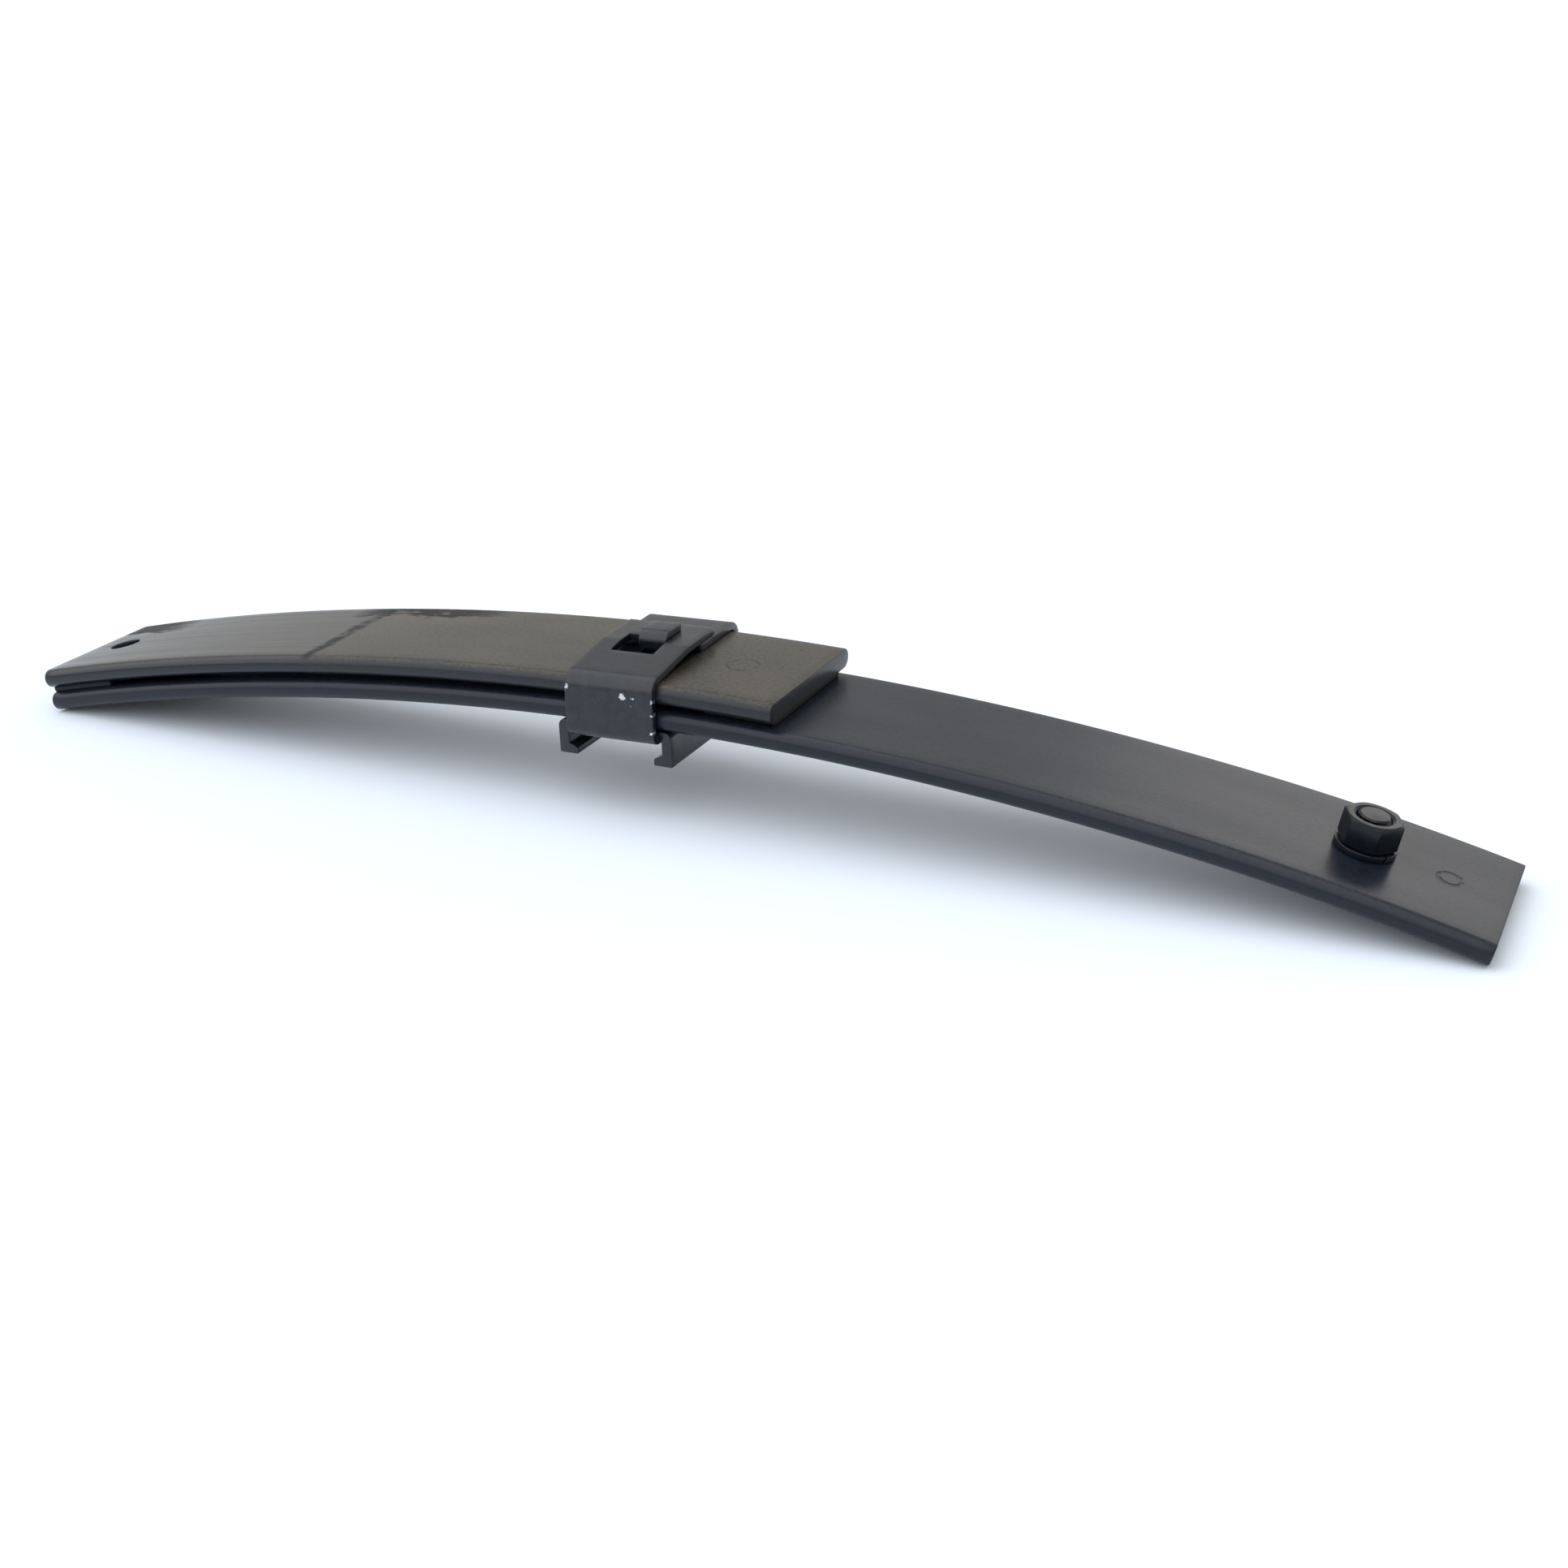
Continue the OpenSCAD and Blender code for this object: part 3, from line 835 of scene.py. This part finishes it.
class SPRING_OT_leaves(bpy.types.Operator):
    """Both leaves. The main leaf's two halves meet inside the clip"""

    bl_idname = "spring.leaves"
    bl_label = "Leaves"

    def execute(self, context):
        sizes, clip, bolt = settings().leaves, settings().clip, settings().bolt
        # Half the width, the thickness and the rounding of the edges, which are full rounds
        section = (sizes.width / 2, sizes.thick, sizes.thick / 2)
        upper_h = sizes.gap + sizes.thick
        root_hole = (sizes.hole_s, sizes.hole_r)
        bolt_hole = (bolt.middle_s, bolt.thread_d / 2 + 0.25 * MM)
        seam = clip.middle_s
        main = leaf_enamel("chassis_enamel_main_leaf", upper=False)
        upper = leaf_enamel("chassis_enamel_upper_leaf", upper=True)
        # Pairs of points in the middle of the main leaf's thickness: one pair between the clamp and the
        # clip, one past the clip
        root_bend = (leaf_point(36 * MM), leaf_point(262 * MM))
        tip_bend = (leaf_point(360 * MM), leaf_point(530 * MM))
        root = leaf_bar("main_leaf_root_half", 0, seam, *section, 0, [root_hole], (True, False))
        tip = leaf_bar("main_leaf_tip_half", seam, sizes.main_len, *section, 0, [bolt_hole], (False, True))
        short = leaf_bar("upper_leaf_bar", 0, sizes.upper_len, *section, upper_h, [root_hole])
        pieces = ((root, main, "main_leaf"), (tip, main, "main_leaf"), (short, upper, "upper_leaf"))
        for obj, paint, node in pieces:
            smooth(obj)
            finish_piece(obj, "leaf_paint", paint, node)
        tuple(root_bend[0])
        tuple(root_bend[1])
        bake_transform(root)
        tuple(root_bend[0])
        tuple(root_bend[1])
        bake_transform(short)
        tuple(tip_bend[0])
        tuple(tip_bend[1])
        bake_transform(tip)
        return {"FINISHED"}


class SPRING_OT_pads(bpy.types.Operator):
    """The shim at the clamped end and the liner under the upper leaf's tip"""

    bl_idname = "spring.pads"
    bl_label = "Pads between the leaves"

    def execute(self, context):
        sizes = settings().leaves
        # What both pads share: thickness, rounding of the edges and height of the top
        shared = (sizes.gap - 2 * REST_GAP, 0.5 * MM, sizes.gap - REST_GAP)
        root_hole = (sizes.hole_s, sizes.hole_r)
        shim = leaf_bar("root_spacer_shim", 0, sizes.spacer_len, sizes.spacer_w / 2, *shared, [root_hole])
        liner_ends = (sizes.upper_len - sizes.liner_len, sizes.upper_len - 1 * MM)
        liner = leaf_bar("tip_liner_pad", *liner_ends, sizes.liner_w / 2, *shared)
        smooth(shim)
        smooth(liner)
        finish_piece(shim, "spacer_steel", shim_enamel("chassis_enamel_shim"), "root_spacer")
        finish_piece(liner, "liner_plastic", liner_nylon("moulded_nylon_liner"), "tip_liner")
        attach(shim, "leaves")
        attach(liner, "clip")
        return {"FINISHED"}


class SPRING_OT_strap(bpy.types.Operator):
    """The lock strap, bent from one flat bar, with its window and the tongue folded back through it"""

    bl_idname = "spring.strap"
    bl_label = "Strap"

    def execute(self, context):
        sizes, clip = settings().leaves, settings().clip
        bar_t, half_w = clip.bar_t, clip.bar_w / 2
        inner_z = sizes.gap + sizes.thick + REST_GAP
        outer_z = inner_z + bar_t + 2 * REST_GAP
        half_in = sizes.width / 2 + clip.side_clear
        top_r, low_r = sizes.thick / 2, 2.5 * MM
        ramp_r, fold_r = 6 * MM, bar_t / 2 + REST_GAP
        ramp_angle = math.radians(7)
        shoulder = inner_z - top_r
        fall = outer_z - shoulder - top_r * math.cos(ramp_angle) - ramp_r * (1 - math.cos(ramp_angle))
        ramp_run = fall / math.sin(ramp_angle)
        outer_run, fold_y, tongue_run = 23 * MM, 0.5 * MM, 9 * MM
        # Air between the fold and the window's end
        fold_air = 0.3 * MM
        outer_end = (
            outer_run
            + ramp_r * math.sin(ramp_angle)
            + ramp_run * math.cos(ramp_angle)
            + top_r * (1 - math.sin(ramp_angle))
            - half_in
        )
        shoulder_end = 4 * MM
        low_z = saddle_top() - clip.saddle_web - REST_GAP
        side_run = shoulder - low_z - low_r
        before_window = outer_end - fold_y - fold_air
        ramp_start = outer_end - outer_run - ramp_r * math.sin(ramp_angle)
        window_near = fold_y + fold_air - clip.window_len
        in_ramp = (ramp_start - window_near) / math.cos(ramp_angle)
        right = math.radians(90)
        rows, marks = bent_path(
            [
                (before_window, 0, 0),
                (outer_run - before_window, ramp_angle, ramp_r),
                (in_ramp, 0, 0),
                (ramp_run - in_ramp, right - ramp_angle, top_r),
                (side_run, right, low_r),
                (2 * (half_in - low_r), right, low_r),
                (side_run, right, top_r),
                (half_in - top_r - shoulder_end, 0, 0),
                (shoulder_end - fold_y, -2 * right, fold_r),
                (tongue_run, 0, 0),
            ],
            bar_t,
        )
        window = (marks[1], marks[3])
        tongue_from = marks[8]
        # Places across the bar: the window's sides over the top, the tongue's sides on the inner layer
        tongue_x, window_x = 1.5 * MM, -1.2 * MM
        middle = np.array([-0.5, -0.17, 0, 0.17, 0.5])
        left, right_side = np.array([-1, -0.85]) * half_w, np.array([0.85, 1]) * half_w
        opening = middle * clip.window_w + window_x
        tongue = middle * clip.tongue_w + tongue_x
        outer_cols = np.concatenate([left, [-0.6 * half_w], opening, [0.6 * half_w], right_side])
        inner_cols = np.concatenate([left, [-0.55 * half_w], tongue, [0.62 * half_w], right_side])
        bottom = (marks[5], marks[6])

        def columns(i):
            share = min(max((i - bottom[0]) / (bottom[1] - bottom[0]), 0), 1)
            return outer_cols * (1 - share) + inner_cols * share

        def alive(i, j):
            in_middle = 3 <= j <= 6
            if window[0] <= i < window[1] and in_middle:
                return False
            return in_middle or i < tongue_from

        def to_local(px, py, q):
            # The strap was closed a little off square: its bottom sits towards the clamped end
            return (q - STRAP_LEAN * py, outer_end - px, outer_z - py)

        strap = bent_bar("clip_strap_bar", rows, bar_t, columns, alive, to_local)
        soften(strap, 0.45 * MM, 50)
        smooth(strap)
        strap.data.transform(seat_at(clip.middle_s) @ Matrix.Rotation(clip.skew, 4, "Z"))
        side_start = rows[marks[4]][0] / MM
        # Bare chips: one on the side face, a few at the corners and down the right edge
        chips = [
            (side_start + 0.6, 6.1, 2.3),
            (side_start + 0.9, 10.6, 0.5),
            (side_start + 3.9, 9.6, 0.5),
            (side_start - 0.8, -17.6, 1.6),
            (side_start + 1.3, 18.2, 0.9),
            (side_start + 6.9, 18.2, 0.8),
            (side_start + 13.6, 17.9, 1.2),
        ]
        finish_piece(strap, "clip_paint", clip_enamel("chipped_enamel_strap", chips), "clip_strap")
        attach(strap, "clip")
        return {"FINISHED"}


def saddle_top():
    """Height of the saddle's flat top: it touches the hollow side of the leaf along its two outer edges."""
    sizes, clip = settings().leaves, settings().clip
    return -sizes.thick - REST_GAP - (clip.saddle_span / 2) ** 2 / (2 * (sizes.arch_r - sizes.thick))


class SPRING_OT_saddle(bpy.types.Operator):
    """The channel under the main leaf, whose flanges keep the strap in place"""

    bl_idname = "spring.saddle"
    bl_label = "Saddle"

    def execute(self, context):
        clip = settings().clip
        out = clip.saddle_span / 2
        inside = out - clip.saddle_flange
        low = -clip.saddle_drop
        bend_r, fillet_r = 3 * MM, 0.5 * MM
        lip_run, lip_depth, lip_rise = 3.6 * MM, 2.6 * MM, 1.5 * MM
        half = quarter(out - bend_r, -bend_r, bend_r, 90, 0)
        half += [(out, low), (inside - lip_run, low), (inside - lip_run, low + lip_depth)]
        half += [(inside, low + lip_depth + lip_rise)]
        half += quarter(inside - fillet_r, -clip.saddle_web - fillet_r, fillet_r, 0, 90)
        outline = half + [(-x, z) for x, z in half[::-1]]
        width = settings().leaves.width - 2 * MM
        saddle = drawn_through("clip_saddle_channel", outline, np.linspace(-width / 2, width / 2, 25))
        soften(saddle, 0.45 * MM, 35)
        smooth(saddle)
        saddle.data.transform(Matrix.Translation((0, 0, saddle_top())))
        saddle.data.transform(seat_at(clip.middle_s))
        paint = clip_enamel("chipped_enamel_saddle", [(36.0, 20.0, 1.2)])
        finish_piece(saddle, "clip_paint", paint, "clip_saddle")
        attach(saddle, "clip")
        return {"FINISHED"}


def quarter(x, z, radius, start, end):
    """Points of an arc about (x, z), from one angle to another in degrees."""
    turns = np.radians(np.linspace(start, end, 9))
    return [(x + radius * math.cos(a), z + radius * math.sin(a)) for a in turns]


def drawn_through(name, outline, stations):
    """A solid with one (x, z) outline all along Y, closed at both ends."""
    loop = np.array(outline)
    steps = np.linalg.norm(np.diff(loop, axis=0, prepend=loop[:1]), axis=1)
    along = np.cumsum(steps)
    points = [(x, y, z) for y in stations for x, z in outline]
    bar = [(along[k], y, 0) for y in stations for k in range(len(outline))]
    size = len(outline)
    faces = wrap(len(stations), size)
    faces.append(tuple(range(size))[::-1])
    faces.append(tuple(range((len(stations) - 1) * size, len(stations) * size)))
    return build_mesh(name, points, faces, bar)


def turned(name, profile, radius_at):
    """A solid of revolution from rows of (radius, height), from one pole to the other.

    radius_at gives the radius of a point from its row's radius, its height and its turn.
    """
    around = 96
    points, faces = [(0, 0, profile[0][1])], []
    rings = profile[1:-1]
    for radius, z in rings:
        for k in range(around):
            turn = 2 * math.pi * k / around
            r = radius_at(radius, z, turn)
            points.append((r * math.cos(turn), r * math.sin(turn), z))
    points.append((0, 0, profile[-1][1]))
    last = len(points) - 1
    for k in range(around):
        n = (k + 1) % around
        faces.append((0, 1 + n, 1 + k))
        for i in range(len(rings) - 1):
            a = 1 + i * around
            faces.append((a + k, a + n, a + around + n, a + around + k))
        faces.append((last, last - around + k, last - around + n))
    return build_mesh(name, points, faces)


def rounded(corner_r, corner_z, radius, up):
    """Points of a quarter round, from the face at corner_z to the side. up is 1 for a top corner, or -1."""
    turns = np.radians(np.linspace(0, 90, 5))
    return [
        (corner_r - radius * (1 - math.sin(a)), corner_z - up * radius * (1 - math.cos(a))) for a in turns
    ]


class SPRING_OT_bolt(bpy.types.Operator):
    """The bolt with its round locating head, the spring washer and the nut"""

    bl_idname = "spring.bolt"
    bl_label = "Bolt, washer and nut"

    def execute(self, context):
        seat = seat_at(settings().bolt.middle_s)
        paint = bolt_enamel("thin_enamel_hardware")
        for make, node in ((self.bolt, "centre_bolt"), (self.washer, "lock_washer"), (self.nut, "nut")):
            obj = make()
            smooth(obj)
            obj.data.transform(seat)
            finish_piece(obj, "bolt_paint", paint, node)
            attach(obj, "tip_bolt")
        return {"FINISHED"}

    def nut_base(self):
        return settings().bolt.washer_t + 2 * REST_GAP

    def bolt(self):
        """Head, shank and thread, from the head's underside up to the chamfered end."""
        sizes, leaves = settings().bolt, settings().leaves
        head_r, shank_r = sizes.head_d / 2, sizes.thread_d / 2
        head_top = -leaves.thick - REST_GAP - head_r**2 / (2 * (leaves.tip_r - leaves.thick))
        low = head_top - sizes.head_h
        end = self.nut_base() + sizes.nut_h + 0.6 * MM
        chamfer = 1.2 * MM
        profile = [(0, low), (0.45 * head_r, low), (0.8 * head_r, low)]
        profile += rounded(head_r, low, 1.2 * MM, -1)[1:]
        profile += [(head_r, low + sizes.head_h * 0.5)]
        profile += rounded(head_r, head_top, 0.5 * MM, 1)[::-1]
        profile += [(shank_r, head_top), (shank_r, 0)]
        count = 64
        thread_from, thread_to = 0.2 * MM, end - chamfer
        profile += [(shank_r, thread_from + (thread_to - thread_from) * i / count) for i in range(count + 1)]
        profile += [(shank_r - chamfer * 0.5, end - chamfer * 0.5), (shank_r - chamfer, end)]
        profile += [(shank_r * 0.72, end), (shank_r * 0.4, end + 0.15 * MM), (0, end + 0.18 * MM)]
        depth = 0.61 * sizes.pitch

        def thread(radius, z, turn):
            if radius > shank_r or z < thread_from:
                return radius
            # Crest and root are flat for a tenth of the pitch each, with straight flanks between them
            phase = (z / sizes.pitch - turn / (2 * math.pi)) % 1
            groove = depth * min(1.0, max(0.0, 1.25 * abs(2 * phase - 1) - 0.125))
            started = min(1.0, (z - thread_from) / sizes.pitch)
            return min(radius, shank_r - groove * started)

        return turned("centre_bolt_turned", profile, thread)

    def washer(self):
        """A split ring of square wire, its two ends slanted and a hair apart."""
        sizes = settings().bolt
        outer, inner = sizes.washer_d / 2, sizes.thread_d / 2 + 0.15 * MM
        thick, split = sizes.washer_t - 2 * REST_GAP, 1.2 * MM
        middle = (outer + inner) / 2
        start, slant = math.radians(-40), math.tan(math.radians(25))
        around = 90
        points = []
        corners = [(inner, 0), (inner, 1), (middle, 1), (outer, 1), (outer, 0), (middle, 0)]
        for k in range(around + 1):
            for r, level in corners:
                # Each end leans with height, so the slit slants
                lean = slant * thick * (level - 0.5)
                first = start + (split / 2 + lean) / r
                last = start + 2 * math.pi - (split / 2 - lean) / r
                turn = first + (last - first) * k / around
                points.append((r * math.cos(turn), r * math.sin(turn), REST_GAP + level * thick))
        size = len(corners)
        faces = wrap(around + 1, size)
        for base in (0, around * size):
            faces.append((base, base + 1, base + 2, base + 5))
            faces.append((base + 5, base + 2, base + 3, base + 4))
        obj = build_mesh("lock_washer_ring", points, faces)
        soften(obj, 0.3 * MM, 40)
        return obj

    def nut(self):
        """A hexagon nut, chamfered and countersunk on both faces, with a corner along the spring."""
        sizes = settings().bolt
        flat_r, height = sizes.nut_af / 2, sizes.nut_h
        face_r = flat_r * 0.97
        slope = math.tan(math.radians(20))
        bore = sizes.thread_d / 2 + 0.03 * MM
        sink_r, sink = bore + 1.0 * MM, 0.6 * MM
        around = 60
        base = self.nut_base()
        points = []
        for k in range(around):
            turn = 2 * math.pi * k / around
            r = flat_r / math.cos(turn % math.radians(60) - math.radians(30))
            cut = max((r - face_r) * slope, 0.05 * MM)
            rows = [(bore, sink), (sink_r, 0), (face_r * 0.92, 0), (face_r, 0), (r, cut), (r, height / 2)]
            rows += [(r, height - cut), (face_r, height), (face_r * 0.92, height), (sink_r, height)]
            rows += [(bore, height - sink)]
            points += [(q * math.cos(turn), q * math.sin(turn), base + z) for q, z in rows]
        obj = build_mesh("nut_hexagon", points, wrap(around, len(points) // around, closed=True))
        soften(obj, 0.25 * MM, 18)
        obj.data.transform(Matrix.Rotation(sizes.nut_turn, 4, "Z"))
        return obj


class SPRING_OT_stage(bpy.types.Operator):
    """The floor, the soft lights and the camera"""

    bl_idname = "spring.stage"
    bl_label = "Stage"

    def execute(self, context):
        scene = context.scene
        self.floor()
        self.world(scene)
        # A broad, soft light from above and in front, even over the whole floor
        target = Vector(on_arch(settings().clip.middle_s, 0, 0))
        power = settings().stage.overhead
        bounce = self.light("bounce_light", "SUN", target, (-0.45, -0.50, 1.15), power, "#f3f7ff")
        bounce.angle = math.radians(95)
        # A lower box behind the bolted end, seen in its upper face
        target = Vector(on_arch(settings().bolt.middle_s, 0, 0))
        box = self.light("tip_box", "AREA", target, (0.12, 1.30, 0.66), 1.7, "#fffaf4")
        box.shape = "RECTANGLE"
        box.size, box.size_y = 0.9, 0.5
        self.camera(scene)
        scene.view_settings.view_transform = "Standard"
        return {"FINISHED"}

    def floor(self):
        # A hair below the tips, so that they don't share a plane with it
        around, radius, height = 96, 14.0, -0.5 * MM
        points = [(0, 0, height)]
        for k in range(around):
            turn = 2 * math.pi * k / around
            points.append((radius * math.cos(turn), radius * math.sin(turn), height))
        faces = [(0, 1 + k, 1 + (k + 1) % around) for k in range(around)]
        floor = build_mesh("studio_floor", points, faces)
        floor.data.materials.append(floor_paint("matt_white_floor_paint"))

    def world(self, scene):
        world = bpy.data.worlds.new("soft_room")
        world.use_nodes = True
        world.node_tree.nodes.clear()
        light = {"Color": rgba(linear("#fffefc")), "Strength": settings().stage.daylight}
        sky = add_node(world.node_tree, "Background", light)
        add_node(world.node_tree, "OutputWorld", {"Surface": sky})
        scene.world = world

    def light(self, name, kind, target, offset, power, colour):
        """A light that stands off its target and looks at it."""
        light = bpy.data.lights.new(name, kind)
        light.energy = power
        light.color = linear(colour)
        obj = bpy.data.objects.new(name, light)
        obj.location = target + Vector(offset)
        obj.rotation_euler = (target - obj.location).to_track_quat("-Z", "Y").to_euler()
        bpy.context.scene.collection.objects.link(obj)
        return light

    def camera(self, scene):
        stage = settings().stage
        a, e, r = stage.azimuth, stage.elevation, stage.roll
        ahead = Vector((-math.sin(a) * math.cos(e), math.cos(a) * math.cos(e), -math.sin(e)))
        level = Vector((math.cos(a), math.sin(a), 0))
        upright = level.cross(ahead)
        right = level * math.cos(r) + upright * math.sin(r)
        up = upright * math.cos(r) - level * math.sin(r)
        data = bpy.data.cameras.new("studio_camera")
        data.lens = stage.lens
        data.sensor_width = 36
        data.shift_x, data.shift_y = stage.shift
        data.clip_start, data.clip_end = 0.01, 100
        camera = bpy.data.objects.new("studio_camera", data)
        turn = Matrix((right, up, -ahead)).transposed().to_4x4()
        camera.matrix_world = Matrix.Translation(stage.place) @ turn
        scene.collection.objects.link(camera)
        scene.camera = camera


class SPRING_PT_panel(bpy.types.Panel):
    """The spring's pieces and sizes"""

    bl_label = "Leaf spring"
    bl_idname = "SPRING_PT_panel"
    bl_space_type = "VIEW_3D"
    bl_region_type = "UI"
    bl_category = "Leaf spring"

    def draw(self, context):
        spring = context.scene.leaf_spring
        groups = (
            (spring.leaves, ("spring.leaves", "spring.pads")),
            (spring.clip, ("spring.strap", "spring.saddle")),
            (spring.bolt, ("spring.bolt",)),
            (spring.finish, ()),
            (spring.stage, ("spring.stage",)),
        )
        for group, operators in groups:
            box = self.layout.box()
            for name in group.__annotations__:
                box.prop(group, name)
            for operator in operators:
                box.operator(operator)


CLASSES = (
    LeafSizes,
    ClipSizes,
    BoltSizes,
    FinishColours,
    StageSizes,
    SpringSettings,
    SPRING_OT_leaves,
    SPRING_OT_pads,
    SPRING_OT_strap,
    SPRING_OT_saddle,
    SPRING_OT_bolt,
    SPRING_OT_stage,
    SPRING_PT_panel,
)


def register():
    for cls in CLASSES:
        bpy.utils.register_class(cls)
    bpy.types.Scene.leaf_spring = bpy.props.PointerProperty(type=SpringSettings)


def unregister():
    del bpy.types.Scene.leaf_spring
    for cls in reversed(CLASSES):
        bpy.utils.unregister_class(cls)


def main():
    register()
    bpy.ops.spring.leaves()
    bpy.ops.spring.pads()
    bpy.ops.spring.strap()
    bpy.ops.spring.saddle()
    bpy.ops.spring.bolt()
    bpy.ops.spring.stage()
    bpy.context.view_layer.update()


if __name__ == "__main__":
    main()
